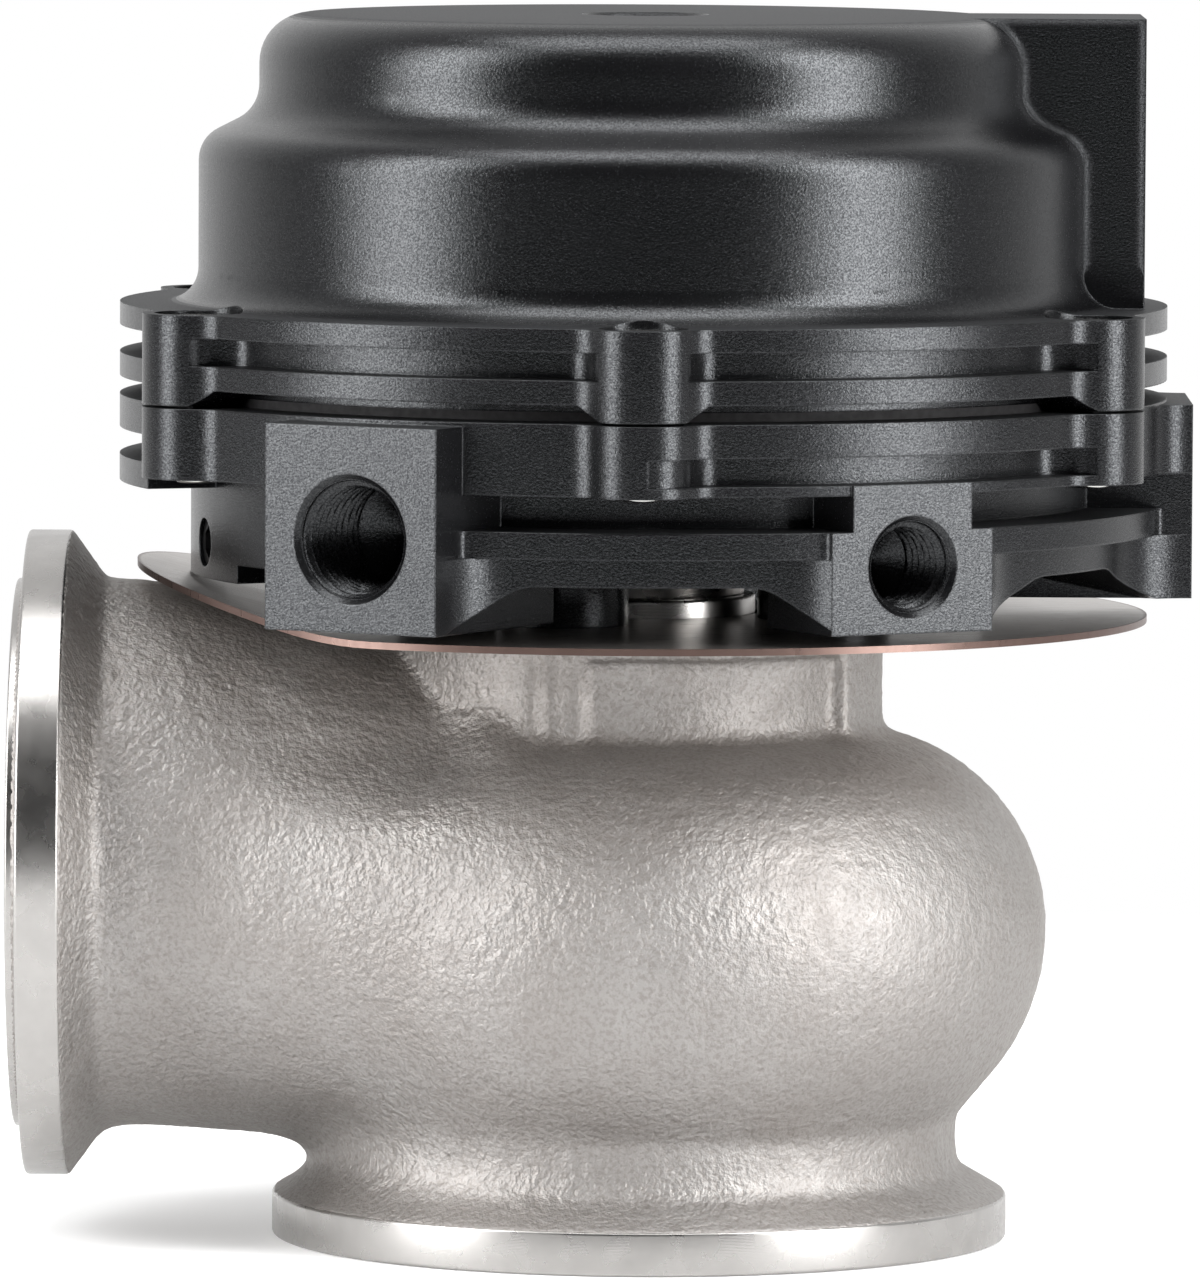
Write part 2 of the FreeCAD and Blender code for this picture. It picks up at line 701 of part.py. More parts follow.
# ---------------------------------------------------------------- heat shield
def heat_shield():
    """Thin disc, flat round the neck and bent up on the outlet's side to clear the pipe."""
    bend = math.radians(shield_bend_angle)
    outer, inner = shield_bend_radius, shield_bend_radius - shield_thickness
    centre = V(-shield_bend_start, 0, neck_top + outer)

    def on(radius, angle):
        return centre + V(-math.sin(angle), 0, -math.cos(angle)) * radius

    tail = V(-math.cos(bend), 0, math.sin(bend)) * shield_radius
    right = V(shield_radius + 1, 0, 0)
    low_right = V(right.x, 0, neck_top)
    high_right = V(right.x, 0, shield_top)
    low_end, high_end = on(outer, bend) + tail, on(inner, bend) + tail
    edges = [
        Part.LineSegment(low_right, on(outer, 0)).toShape(),
        Part.Arc(on(outer, 0), on(outer, bend / 2), on(outer, bend)).toShape(),
        Part.LineSegment(on(outer, bend), low_end).toShape(),
        Part.LineSegment(low_end, high_end).toShape(),
        Part.LineSegment(high_end, on(inner, bend)).toShape(),
        Part.Arc(on(inner, bend), on(inner, bend / 2), on(inner, 0)).toShape(),
        Part.LineSegment(on(inner, 0), high_right).toShape(),
        Part.LineSegment(high_right, low_right).toShape(),
    ]
    sheet = Part.Face(Part.Wire(edges)).extrude(V(0, 2 * shield_radius + 2, 0))
    sheet.translate(V(0, -shield_radius - 1, 0))
    disc = sheet.common(cylinder(shield_radius, 0, BIG))
    holes = [cylinder(guide_flange_radius + gasket_margin, 0, BIG)]
    for angle in around(screw_count, screw_angle):
        holes.append(cylinder(body_screw["shank"] + gasket_margin, 0, BIG, polar(screw_circle, angle)))
    return disc.cut(holes)


# ---------------------------------------------------------------- actuator housing
def lobe_span(middle, margin, front_margin=None):
    """Start and end, in degrees, of the run between two lobes about a middle angle, less a margin."""
    start = middle - segment / 2 + (margin if front_margin is None else front_margin)
    return start, middle + segment / 2 - margin


def arc_bar(inner, outer, heights, span):
    """Ring sector between two heights and two angles."""
    return sector(inner, outer, *heights, (span[0] + span[1]) / 2, span[1] - span[0])


def fin_grooves(heights, spans):
    """Cooling grooves, each with a floor that swells round the cap screws at its ends."""
    floor = lobed_prism(
        groove_floor, lobe_circle, groove_post, groove_post_blend, lobe_count, lobe_angle, *heights
    )
    return [arc_bar(groove_floor - 2, BIG, heights, span).cut(floor) for span in spans]


def port_foot(port):
    return foot_height + port["foot"]


def port_top(port):
    return joint_height - port["drop"]


def port_height(port):
    return floor_top + port["rise"]


def port_plan(port):
    return plan_block(port["angle"], port_root, port["face"], port["half"])


def arch_cutter(arch):
    half, slope_end = arch["half"], arch["half"] - arch["ramp"]
    corners = [(-half, 0, 0), (half, 0, 0), (half, foot_height, 0)]
    corners += [(x, floor_underside, arch_corner) for x in (slope_end, -slope_end)]
    corners.append((-half, foot_height, 0))
    return radial_prism(arch["angle"], arch_root, BIG, corners)


def base_ring():
    """Two-step ring round the housing's foot, with port blocks standing out of it and arches cut below."""
    ports = [port_plan(p) for p in (front_port, air_port, right_port)]
    step = ring_top - ring_height
    upper_plan = hollowed_plan([plan_disc(ring_radius)] + ports, ring_hollow)
    lower_plan = hollowed_plan([plan_disc(ring_radius - ring_step)] + ports, ring_blend)
    cutters = [arch_cutter(arch) for arch in arches]
    cutters.append(cylinder(BIG, 0, port_foot(right_port), polar(BIG + arch_root, right_port["angle"])))
    steps = [raised(upper_plan, step, ring_top), raised(lower_plan, foot_height, step)]
    ring = fuse(steps).cut(cutters)
    kept = [ring.common(sector(1.0, BIG, 0, BIG, (ring_from + ring_to) / 2, ring_to - ring_from))]
    for port in (front_port, air_port, right_port):
        top = ring_top if port is air_port else port_top(port)
        kept.append(
            radial_block(port["angle"], port_root, port["face"], port["half"], port_foot(port), top)
        )
    shoulder_top = port_top(air_port)
    kept.append(
        radial_block(
            air_port["angle"], port_root, air_port["face"], air_port_shoulder, ring_top, shoulder_top
        )
    )
    return fuse(kept)


def coolant_ways(port):
    """Threaded mouth, and a riser from it to the gallery."""
    depth = port["face"] - chamber_bore - port_floor - drill_point(coolant_thread_radius)
    height = port_height(port)
    mouth = radial_hole(port["angle"], height, coolant_thread_radius, port["face"], depth, port_chamfer)
    middle = (gallery_inner + gallery_outer) / 2
    riser = cylinder(gallery_riser, height, gallery_bottom + 0.5, polar(middle, port["angle"]))
    return [mouth, riser]


def housing_outside():
    flange = lobed_prism(
        joint_radius, lobe_circle, lobe_radius, lobe_blend, lobe_count, lobe_angle,
        flange_underside, joint_height
    )
    swept = hollowed_plan([plan_disc(joint_radius), port_plan(right_port)], right_port_blend)
    swept = raised(swept, flange_underside, port_top(right_port))
    wall = cylinder(housing_wall_radius, floor_underside, joint_height)
    fin_heights = (low_fin[0], flange_underside)
    fins = [
        arc_bar(housing_wall_radius - 1, joint_radius, fin_heights, lobe_span(middle, fin_margin))
        for middle in fin_at
    ]
    skirt_heights = (shield_top + skirt_gap, floor_top)
    skirt = arc_bar(chamber_bore, housing_wall_radius, skirt_heights, (skirt_from, skirt_to))
    return fuse([flange, swept, wall, skirt, base_ring()] + fins)


def actuator_housing():
    hollow = housing_outside().cut(
        [cylinder(chamber_bore, floor_top, BIG), cylinder(chamber_bore, 0, floor_underside)]
    )
    inside = [
        cylinder(chamber_bore + 0.5, floor_underside, floor_top),
        cylinder(hub_radius, floor_top, floor_top + hub_rise),
    ]
    for angle in around(screw_count, screw_angle):
        inside.append(cylinder(leg_radius, shield_top, floor_top, polar(screw_circle, angle)))
    for port in (front_port, right_port):
        foot = port_foot(port)
        inside.append(
            radial_block(port["angle"], port_inner, chamber_bore + 1, port["half"], foot, floor_top)
        )
    body = fuse([hollow] + inside)

    spans = [lobe_span(middle, groove_margin) for middle in fin_at]
    spans.append(lobe_span(air_port["angle"], groove_margin, front_groove_margin))
    tools = fin_grooves(housing_groove, spans)
    tools.append(cylinder(carrier_radius + fit_clearance, 0, BIG))
    for angle in around(screw_count, screw_angle):
        centre = polar(screw_circle, angle)
        tools.append(cylinder(body_screw["shank"] + screw_clearance, 0, BIG, centre))
        tools.append(cylinder(body_screw["head"] + head_clearance, body_screw_seat, BIG, centre))
    for angle in around(lobe_count, lobe_angle):
        centre = polar(lobe_circle, angle)
        tools.append(cylinder(cap_screw["shank"] + screw_clearance, ring_top + 0.1, BIG, centre))
    tools += coolant_ways(front_port) + coolant_ways(right_port)
    ring = cylinder(gallery_outer, gallery_bottom, gallery_top)
    tools.append(ring.cut(cylinder(gallery_inner, 0, BIG)))
    mouth = air_port["face"]
    tools.append(
        radial_hole(
            air_port["angle"], port_height(air_port), air_thread_radius, mouth, air_port_depth, port_chamfer
        )
    )
    air_way = floor_top + air_passage_rise
    air_reach = mouth - chamber_bore - 2
    tools.append(radial_hole(air_port["angle"], air_way, passage_radius, mouth - 4, air_reach))
    plug_bore = plug_radius + fit_clearance
    tools.append(radial_hole(plug_angle, plug_height, plug_bore, housing_wall_radius + 1, 4.1))
    return body.cut(tools)


def port_plug():
    """Socket plug in the spare drilling beside the front port."""
    outer = housing_wall_radius - plug_recess
    plug = Part.makeCylinder(plug_radius, plug_length, V(outer - plug_length, 0, plug_height), V(1, 0, 0))
    socket = hex_prism(plug_socket, plug_length / 2)
    socket.rotate(V(0, 0, 0), V(0, 1, 0), 90)
    socket.translate(V(outer - plug_length / 2, 0, plug_height))
    plug = plug.cut(socket)
    plug.rotate(V(0, 0, 0), UP, plug_angle)
    return plug


# ---------------------------------------------------------------- cap
def dome(inset):
    """Two-step dome of the cap, drawn in by inset all over."""
    drop = 0.0 if not inset else inset
    lower, upper = lower_dome_radius - inset, upper_dome_radius - inset
    foot, head, top = shoulder_foot - drop, shoulder_head - drop, cap_top - drop
    blends = (shoulder_fillet, dome_hollow_fillet) if not inset else (dome_hollow_fillet, shoulder_fillet)
    corners = [
        (0, cap_flange_top - 1, 0),
        (joint_radius - 1, cap_flange_top - 1, 0),
        (joint_radius - 1, cap_flange_top, 0),
        (lower, cap_flange_top, dome_foot_fillet),
    ]
    if inset:
        corners = [(0, joint_height - 1, 0), (lower, joint_height - 1, 0)]
    corners += [
        (lower, foot, blends[0]),
        (upper, head, blends[1]),
        (upper, top, crown_fillet - drop / 2),
        (0, top, 0),
    ]
    return turned(corners)


def domes_and_block():
    """The cap's outside above its flange: both domes, and the port block with hollows down its sides."""
    domes = dome(0.0)
    root, foot = upper_dome_radius - cap_block_root, cap_flange_top - 1
    block = radial_block(0.0, root, cap_block_face, cap_block_half, foot, cap_top)
    joined = domes.fuse(block)
    return filleted(joined, seam(joined, domes, block), cap_block_blend)


def actuator_cap():
    flange = lobed_prism(
        joint_radius, lobe_circle, lobe_radius, lobe_blend, lobe_count, lobe_angle,
        joint_height, cap_flange_top
    )
    outside = fuse([flange, domes_and_block()])
    clamp_radius = diaphragm_rim + gasket_margin
    relief = cylinder(BIG, joint_height - 1, joint_height + cap_relief)
    relief = relief.cut(cylinder(clamp_radius, 0, BIG))
    pads = [
        radial_block(
            angle, diaphragm_rim, BIG, relief_pad, joint_height, joint_height + cap_relief, relief_ramp
        )
        for angle in around(lobe_count, lobe_angle)
    ]
    relief = relief.cut(pads)
    inner_edge = lobe_circle + lobe_radius - lobe_gap_depth
    fine_gap = cylinder(BIG, joint_height - 1, joint_height + lobe_gap).cut(cylinder(inner_edge, 0, BIG))
    seat = cylinder(clamp_radius, 0, diaphragm_top)
    spans = [lobe_span(middle, groove_margin) for middle in around(lobe_count, 0.0)]
    body = outside.cut([relief, fine_gap, seat] + fin_grooves(cap_groove, spans))

    boss_outer = coolant_thread_radius + port_boss_wall
    boss_mouth = cap_block_face - cap_port_depth - 1.5
    side_boss = Part.makeCylinder(boss_outer, BIG, V(boss_mouth, 0, cap_port_height), V(1, 0, 0))
    top_boss = cylinder(top_boss_radius, cap_top - cap_wall - top_boss_drop, BIG)
    body = body.cut(dome(cap_wall).cut([side_boss, top_boss]))

    tools = [
        radial_hole(
            0.0, cap_port_height, coolant_thread_radius, cap_block_face, cap_port_depth, port_chamfer
        ),
        Part.makeCylinder(passage_radius, cap_block_face, V(0, 0, cap_port_height), V(1, 0, 0)).common(
            box((boss_mouth - 1, -5, 0), (BIG, 5, BIG))
        ),
    ]
    mouth = radial_hole(0.0, 0.0, coolant_thread_radius, 0.0, top_port_depth, port_chamfer)
    mouth.rotate(V(0, 0, 0), V(0, 1, 0), -90)
    mouth.translate(V(0, 0, cap_top))
    tools.append(mouth)
    tools.append(cylinder(passage_radius, cap_top - cap_wall - top_boss_drop - 1, cap_top))
    head_seat = cap_flange_top - screw_sink - cap_screw["head_height"]
    for angle in around(lobe_count, lobe_angle):
        centre = polar(lobe_circle, angle)
        tools.append(cylinder(cap_screw["shank"] + screw_clearance, 0, BIG, centre))
        tools.append(cylinder(cap_screw["head"] + head_clearance, head_seat, BIG, centre))
    return body.cut(tools)


# ---------------------------------------------------------------- diaphragm, piston and springs
def diaphragm():
    """Dished sheet, clamped at its rim between the housing and the cap and at its centre by the piston."""
    corners = [
        (stud_radius + fit_clearance, centre_clamp_bottom, 0),
        (diaphragm_flat + 0.4, centre_clamp_bottom, diaphragm_fillet),
        (diaphragm_throat + 0.4, joint_height, diaphragm_fillet),
        (diaphragm_rim, joint_height, 0),
        (diaphragm_rim, diaphragm_top, 0),
        (diaphragm_throat, diaphragm_top, diaphragm_fillet),
        (diaphragm_flat, centre_clamp_top, diaphragm_fillet),
        (stud_radius + fit_clearance, centre_clamp_top, 0),
    ]
    return turned(corners)


def retainer_plate():
    corners = [
        (stud_radius + fit_clearance, plate_bottom, 0),
        (plate_radius, plate_bottom, 0.6),
        (plate_radius, centre_clamp_bottom, 0.6),
        (stud_radius + fit_clearance, centre_clamp_bottom, 0),
    ]
    return turned(corners)


def piston():
    """Spring plate above the diaphragm, with a hub under the nut and a rib that centres the outer spring."""
    rib_inner = spring_guide_radius - spring_guide_wall
    bore = stud_radius + fit_clearance
    corners = [
        (bore, centre_clamp_top, 0),
        (piston_radius, centre_clamp_top, 0.5),
        (piston_radius, piston_top, 0.4),
        (spring_guide_radius, piston_top, 0.5),
        (spring_guide_radius, piston_top + spring_guide_rise, 0.5),
        (rib_inner, piston_top + spring_guide_rise, 0.5),
        (rib_inner, piston_top, 0.5),
        (piston_hub_radius, piston_top, 0.5),
        (piston_hub_radius, piston_hub_top, 0.4),
        (bore, piston_hub_top, 0),
    ]
    return turned(corners)


def coil(size, bottom, top):
    """Compression spring with ground ends, wound from half turns tilted up by half a pitch each."""
    wire, radius = size["wire"], size["radius"]
    half_turns = int(size["turns"] * 2)
    rise = (top - bottom - wire) / half_turns
    tilt = math.atan(rise / (2 * radius))
    pieces = []
    for i in range(half_turns):
        piece = Part.makeTorus(radius / math.cos(tilt), wire, V(0, 0, 0), UP, -180, 180, 180)
        piece.rotate(V(0, 0, 0), V(0, 1, 0), math.degrees(tilt))
        piece.rotate(V(0, 0, 0), UP, 180 * (i % 2))
        piece.translate(V(0, 0, bottom + wire / 2 + rise * (i + 0.5)))
        pieces.append(piece)
    return fuse(pieces).common(cylinder(BIG, bottom, top))


def spring_shim():
    """Hardened ring between the springs and the cap's roof."""
    inner = inner_spring["radius"] - inner_spring["wire"] - 1.5
    outer = outer_spring["radius"] + outer_spring["wire"]
    ring = cylinder(outer, spring_roof - spring_shim_thickness, spring_roof)
    return ring.cut(cylinder(inner, 0, BIG))


def stem_washer():
    ring = cylinder(washer_radius, piston_hub_top, piston_hub_top + washer_height)
    return ring.cut(cylinder(stud_radius + gasket_margin, 0, BIG))


def stem_nut():
    bottom = piston_hub_top + washer_height
    nut = hex_prism(nut_flats / 2, nut_height)
    nut.translate(V(0, 0, bottom))
    corner = nut_flats / math.sqrt(3)
    round_top = turned([
        (0, bottom, 0),
        (corner - 0.6, bottom, 0),
        (corner + 0.1, bottom + 0.5, 0),
        (corner + 0.1, bottom + nut_height - 0.5, 0),
        (corner - 0.6, bottom + nut_height, 0),
        (0, bottom + nut_height, 0),
    ])
    return nut.common(round_top).cut(cylinder(stud_radius + fit_clearance, 0, BIG))


# ---------------------------------------------------------------- fasteners
def hex_prism(half_flats, height):
    corner = 2 * half_flats / math.sqrt(3)
    points = [polar(corner, 60 * i) for i in range(6)]
    return Part.Face(Part.makePolygon(points + points[:1])).extrude(V(0, 0, height))


def socket_screw(size, seat, centre):
    """Socket head cap screw standing head up, with its head's underside at the seat."""
    top = seat + size["head_height"]
    tip = seat - size["length"]
    corners = [
        (0, tip, 0),
        (size["shank"], tip, 0.4),
        (size["shank"], seat, 0),
        (size["head"], seat, 0),
        (size["head"], top, 0.35),
        (0, top, 0),
    ]
    depth = size["head_height"] * socket_depth
    socket = hex_prism(size["socket"] / 2, depth + 1)
    socket.translate(V(0, 0, top - depth))
    screw = turned(corners).cut(socket)
    screw.translate(centre)
    return screw


def cap_screws():
    seat = cap_flange_top - screw_sink - cap_screw["head_height"]
    places = [polar(lobe_circle, angle) for angle in around(lobe_count, lobe_angle)]
    return group([socket_screw(cap_screw, seat, place) for place in places])


def body_screws():
    places = [polar(screw_circle, angle) for angle in around(screw_count, screw_angle)]
    return group([socket_screw(body_screw, body_screw_seat, place) for place in places])


# ---------------------------------------------------------------- all parts
def main():
    parts = {
        "valve_body": valve_body(),
        "valve_seat": valve_seat(),
        "valve": valve(),
        "stem_guide": stem_guide(),
        "seal_carrier": seal_carrier(),
        "stem_seal": stem_seal(),
        "seal_clip": seal_clip(),
        "carrier_o_ring": carrier_o_ring(),
        "heat_shield": heat_shield(),
        "actuator_housing": actuator_housing(),
        "port_plug": port_plug(),
        "body_screws": body_screws(),
        "actuator_cap": actuator_cap(),
        "cap_screws": cap_screws(),
        "diaphragm": diaphragm(),
        "retainer_plate": retainer_plate(),
        "piston": piston(),
        "spring_outer": coil(outer_spring, piston_top, spring_roof - spring_shim_thickness),
        "spring_inner": coil(inner_spring, piston_top, spring_roof - spring_shim_thickness),
        "spring_shim": spring_shim(),
        "stem_washer": stem_washer(),
        "stem_nut": stem_nut(),
    }
    os.makedirs("parts", exist_ok=True)
    for name, shape in parts.items():
        shape.exportStep(f"parts/{name}.step")
        print(name, shape.isValid(), len(shape.Solids), round(shape.Volume))


main()
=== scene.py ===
"""Looks for the turbo wastegate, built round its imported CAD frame.

Row frame, metres: +Z runs up the valve's axis from the inlet flange's face, the outlet points along -X,
and the camera stands on the -Y side.
"""

import json
import math

import bpy
import numpy as np
from mathutils import Matrix, Quaternion, Vector


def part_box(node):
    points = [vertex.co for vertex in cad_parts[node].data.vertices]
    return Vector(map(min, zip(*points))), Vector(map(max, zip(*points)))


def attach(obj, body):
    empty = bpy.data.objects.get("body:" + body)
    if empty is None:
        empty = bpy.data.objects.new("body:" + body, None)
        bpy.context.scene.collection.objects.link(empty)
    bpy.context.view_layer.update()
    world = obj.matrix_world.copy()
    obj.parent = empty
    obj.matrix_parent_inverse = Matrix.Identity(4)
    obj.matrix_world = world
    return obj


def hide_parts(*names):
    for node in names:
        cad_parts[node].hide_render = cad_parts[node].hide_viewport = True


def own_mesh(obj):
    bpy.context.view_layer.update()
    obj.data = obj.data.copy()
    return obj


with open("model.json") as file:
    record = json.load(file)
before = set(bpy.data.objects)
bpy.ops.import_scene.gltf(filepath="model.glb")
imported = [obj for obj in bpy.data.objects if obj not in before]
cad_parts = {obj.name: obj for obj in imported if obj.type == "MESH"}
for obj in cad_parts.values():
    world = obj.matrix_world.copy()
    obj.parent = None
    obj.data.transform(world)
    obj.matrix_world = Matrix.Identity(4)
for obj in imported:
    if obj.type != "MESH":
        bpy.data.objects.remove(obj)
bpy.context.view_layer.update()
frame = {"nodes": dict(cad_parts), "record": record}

MM = 0.001
NODES = frame["nodes"]
RECORD = frame["record"]
MOUNTS = {mount["name"]: mount for mount in RECORD["mounts"]}


# ---------------------------------------------------------------- shader helpers
def rgb(red, green, blue):
    return (red, green, blue, 1.0)


def shade(colour, share=1.0):
    """A colour of three parts, darkened to a share of itself."""
    return rgb(*(part * share for part in colour))


class Nodes:
    """A node tree with short calls for the nodes used here."""

    def __init__(self, tree):
        self.tree = tree

    def wire(self, value, socket):
        """Links the value to the socket, or sets it where the value is a plain one."""
        if isinstance(value, bpy.types.NodeSocket):
            self.tree.links.new(value, socket)
        else:
            socket.default_value = value

    def add(self, kind, inputs=None, **settings):
        node = self.tree.nodes.new("ShaderNode" + kind)
        for key, value in settings.items():
            setattr(node, key, value)
        for key, value in (inputs or {}).items():
            self.wire(value, node.inputs[key])
        return node

    def ramp(self, value, low, high, start=0.3, end=0.7):
        """Value mapped from start..end to low..high."""
        inputs = {"Value": value, "From Min": start, "From Max": end, "To Min": low, "To Max": high}
        return self.add("MapRange", inputs).outputs["Result"]

    def mix(self, factor, first, second):
        return self.add("Mix", {0: factor, 6: first, 7: second}, data_type="RGBA").outputs[2]

    def maths(self, operation, *values):
        return self.add("Math", dict(enumerate(values)), operation=operation).outputs[0]

    def split(self, vector):
        return self.add("SeparateXYZ", {"Vector": vector}).outputs

    def hypotenuse(self, first, second):
        squares = [self.maths("MULTIPLY", side, side) for side in (first, second)]
        return self.maths("SQRT", self.maths("ADD", *squares))

    def bump(self, height, depth, strength=1.0, normal=None):
        inputs = {"Height": height, "Distance": depth, "Strength": strength}
        if normal:
            inputs["Normal"] = normal
        return self.add("Bump", inputs).outputs["Normal"]


class Shader(Nodes):
    """A material's nodes, which take their patterns from the object's own coordinates."""

    def __init__(self, name):
        self.material = bpy.data.materials.new(name)
        self.material.use_nodes = True
        super().__init__(self.material.node_tree)
        self.principled = self.tree.nodes["Principled BSDF"]
        self.coords = self.add("TexCoord").outputs["Object"]

    def noise(self, size, detail=2.0, rough=0.5, vector=None):
        """Noise with features about size metres across."""
        inputs = {
            "Vector": vector or self.coords,
            "Scale": 1.0 / size,
            "Detail": detail,
            "Roughness": rough,
        }
        return self.add("TexNoise", inputs).outputs["Fac"]

    def set(self, **values):
        for key, value in values.items():
            self.wire(value, self.principled.inputs[key.replace("_", " ")])
        return self.material


# ---------------------------------------------------------------- materials
def cast_stainless():
    """Investment-cast stainless: matt, warm grey, with a sharp fine grain over soft lumps."""
    s = Shader("cast_stainless")
    tone = s.noise(11 * MM, 3.0)
    lumps = s.noise(0.65 * MM, 2.0, 0.5)
    grain = s.noise(0.40 * MM, 2.0, 0.6)
    clumps = s.ramp(s.noise(9 * MM, 2.0), 0.5, 1.0, 0.4, 0.6)
    towards_pipe = s.ramp(s.split(s.coords)[0], 1.0, 0.45, -12 * MM, 16 * MM)
    patches = s.maths("MULTIPLY", clumps, towards_pipe)
    colour = s.mix(s.ramp(tone, 0.0, 1.0), rgb(0.365, 0.345, 0.33), rgb(0.415, 0.40, 0.388))
    colour = s.mix(s.ramp(grain, 0.45, 0.0, 0.35, 0.55), colour, rgb(0.25, 0.225, 0.205))
    normal = s.bump(s.maths("MULTIPLY", lumps, patches), 0.26 * MM, 1.0)
    normal = s.bump(grain, 0.11 * MM, 1.0, normal)
    rough = s.ramp(s.noise(2.5 * MM, 3.0), 0.54, 0.64)
    return s.set(Base_Color=colour, Metallic=1.0, Roughness=rough, Normal=normal)


def machined(name, axis, colour=(0.52, 0.505, 0.49)):
    """Turned metal with fine tool marks round an axis: 0 is the outlet's, along X, and 2 the valve's."""
    s = Shader(name)
    mark_pitch = 0.13 * MM
    place = s.split(s.coords)
    across = [i for i in range(3) if i != axis]
    centre = MOUNTS["outlet_pilot"]["pos_m"] if axis == 0 else (0.0, 0.0, 0.0)
    radius = s.hypotenuse(*(s.maths("SUBTRACT", place[i], centre[i]) for i in across))
    travel = s.maths("ADD", radius, place[axis])
    marks = s.maths("SINE", s.maths("MULTIPLY", travel, 2 * math.pi / mark_pitch))
    streak = s.noise(3 * MM, 3.0)
    edges = s.add("Bevel", {"Radius": 0.12 * MM}, samples=4).outputs[0]
    normal = s.bump(marks, 0.0014 * MM, 0.5, edges)
    tint = s.mix(s.ramp(streak, 0.0, 1.0), shade(colour), shade(colour, 0.9))
    return s.set(Base_Color=tint, Metallic=1.0, Roughness=s.ramp(streak, 0.24, 0.32), Normal=normal)


def black_anodised(name="black_anodised", smoothest=0.18, bevel=0.22):
    """Bead-blasted aluminium under a black oxide: dark, with a fine sparkle and softened edges.

    The edges of the domes and of the block beside them are rounder than the flanges' by six times, and
    flat tops turn dull where they are seen edge-on, as a blasted skin does.
    """
    s = Shader(name)
    grain = s.noise(0.20 * MM, 2.0, 0.65)
    fine = s.noise(0.09 * MM, 1.0)
    sparkle = s.ramp(s.noise(0.16 * MM, 1.0), 0.0, 1.0, 0.36, 0.64)
    tone = s.noise(14 * MM, 2.0)
    colour = s.mix(s.ramp(tone, 0.0, 1.0), rgb(0.003, 0.003, 0.0034), rgb(0.0045, 0.0045, 0.005))

    cap_low, cap_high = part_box("actuator_cap")
    dome_foot = cap_low.z + 0.33 * (cap_high.z - cap_low.z)
    height = s.split(s.coords)[2]
    rounding = s.ramp(height, bevel * MM, 6 * bevel * MM, dome_foot, dome_foot + 1 * MM)
    edges = s.add("Bevel", {"Radius": rounding}, samples=4).outputs[0]
    normal = s.bump(grain, 0.022 * MM, 1.0, edges)
    normal = s.bump(fine, 0.008 * MM, 1.0, normal)

    upward = s.ramp(s.split(s.add("NewGeometry").outputs["True Normal"])[2], 0.0, 1.0, 0.9, 0.99)
    facing = s.add("LayerWeight", {"Blend": 0.5}).outputs["Facing"]
    dull = s.maths("MULTIPLY", s.ramp(facing, 0.0, 0.35, 0.6, 0.85), upward)
    rough = s.maths("ADD", s.ramp(grain, smoothest, smoothest + 0.1), dull)
    tint = s.mix(sparkle, rgb(0.36, 0.375, 0.40), rgb(0.94, 0.97, 1.0))
    return s.set(
        Base_Color=colour, Metallic=0.0, Roughness=rough, IOR=1.62, Specular_Tint=tint, Normal=normal
    )


def shield_steel():
    """Rolled sheet, heat-tinted brown on its cut edge."""
    s = Shader("shield_steel")
    place = s.split(s.coords)
    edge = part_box("heat_shield")[1].x
    rim = s.ramp(s.hypotenuse(place[0], place[1]), 0.0, 1.0, edge - 0.35 * MM, edge - 0.1 * MM)
    stretched = s.add("Mapping", {"Vector": s.coords, "Scale": (1.0, 14.0, 1.0)}).outputs[0]
    grain = s.noise(5 * MM, 4.0, 0.6, stretched)
    plain = s.mix(s.ramp(grain, 0.0, 1.0), rgb(0.60, 0.57, 0.55), rgb(0.52, 0.48, 0.45))
    colour = s.mix(rim, plain, rgb(0.17, 0.115, 0.10))
    normal = s.bump(grain, 0.01 * MM, 0.4)
    return s.set(Base_Color=colour, Metallic=1.0, Roughness=s.ramp(grain, 0.26, 0.36), Normal=normal)


def plain_metal(name, colour, rough):
    s = Shader(name)
    grain = s.noise(0.5 * MM, 3.0)
    tone = s.noise(6 * MM, 2.0)
    tint = s.mix(s.ramp(tone, 0.0, 1.0), shade(colour), shade(colour, 0.85))
    normal = s.bump(grain, 0.004 * MM, 0.5)
    roughness = s.ramp(grain, rough - 0.04, rough + 0.05)
    return s.set(Base_Color=tint, Metallic=1.0, Roughness=roughness, Normal=normal)


def rubber(name, colour):
    s = Shader(name)
    weave = s.noise(0.6 * MM, 3.0)
    tint = s.mix(s.ramp(weave, 0.0, 1.0), shade(colour), shade(colour, 0.7))
    normal = s.bump(weave, 0.03 * MM, 0.5)
    return s.set(Base_Color=tint, Metallic=0.0, Roughness=s.ramp(weave, 0.6, 0.75), Normal=normal)


MATERIALS = {
    "cast_stainless": cast_stainless(),
    "turned_steel": machined("turned_steel", 2),
    "rim_steel": machined("rim_steel", 0),
    "shield_steel": shield_steel(),
    "spring_steel": plain_metal("spring_steel", (0.32, 0.32, 0.34), 0.35),
    "screw_steel": plain_metal("screw_steel", (0.75, 0.74, 0.72), 0.2),
    "black_steel": plain_metal("black_steel", (0.05, 0.05, 0.052), 0.4),
    "black_anodised": black_anodised(),
    "plain_aluminium": machined("plain_aluminium", 2, (0.78, 0.78, 0.79)),
    "cut_thread": black_anodised("cut_thread", 0.22, 0.12),
    "seal_rubber": rubber("seal_rubber", (0.02, 0.02, 0.021)),
    "diaphragm_rubber": rubber("diaphragm_rubber", (0.03, 0.028, 0.03)),
}


def dress(obj, material):
    obj.data.materials.clear()
    obj.data.materials.append(MATERIALS[material])
    return obj


# ---------------------------------------------------------------- mesh helpers
def linked(name, mesh):
    obj = bpy.data.objects.new(name, mesh)
    bpy.context.scene.collection.objects.link(obj)
    return obj


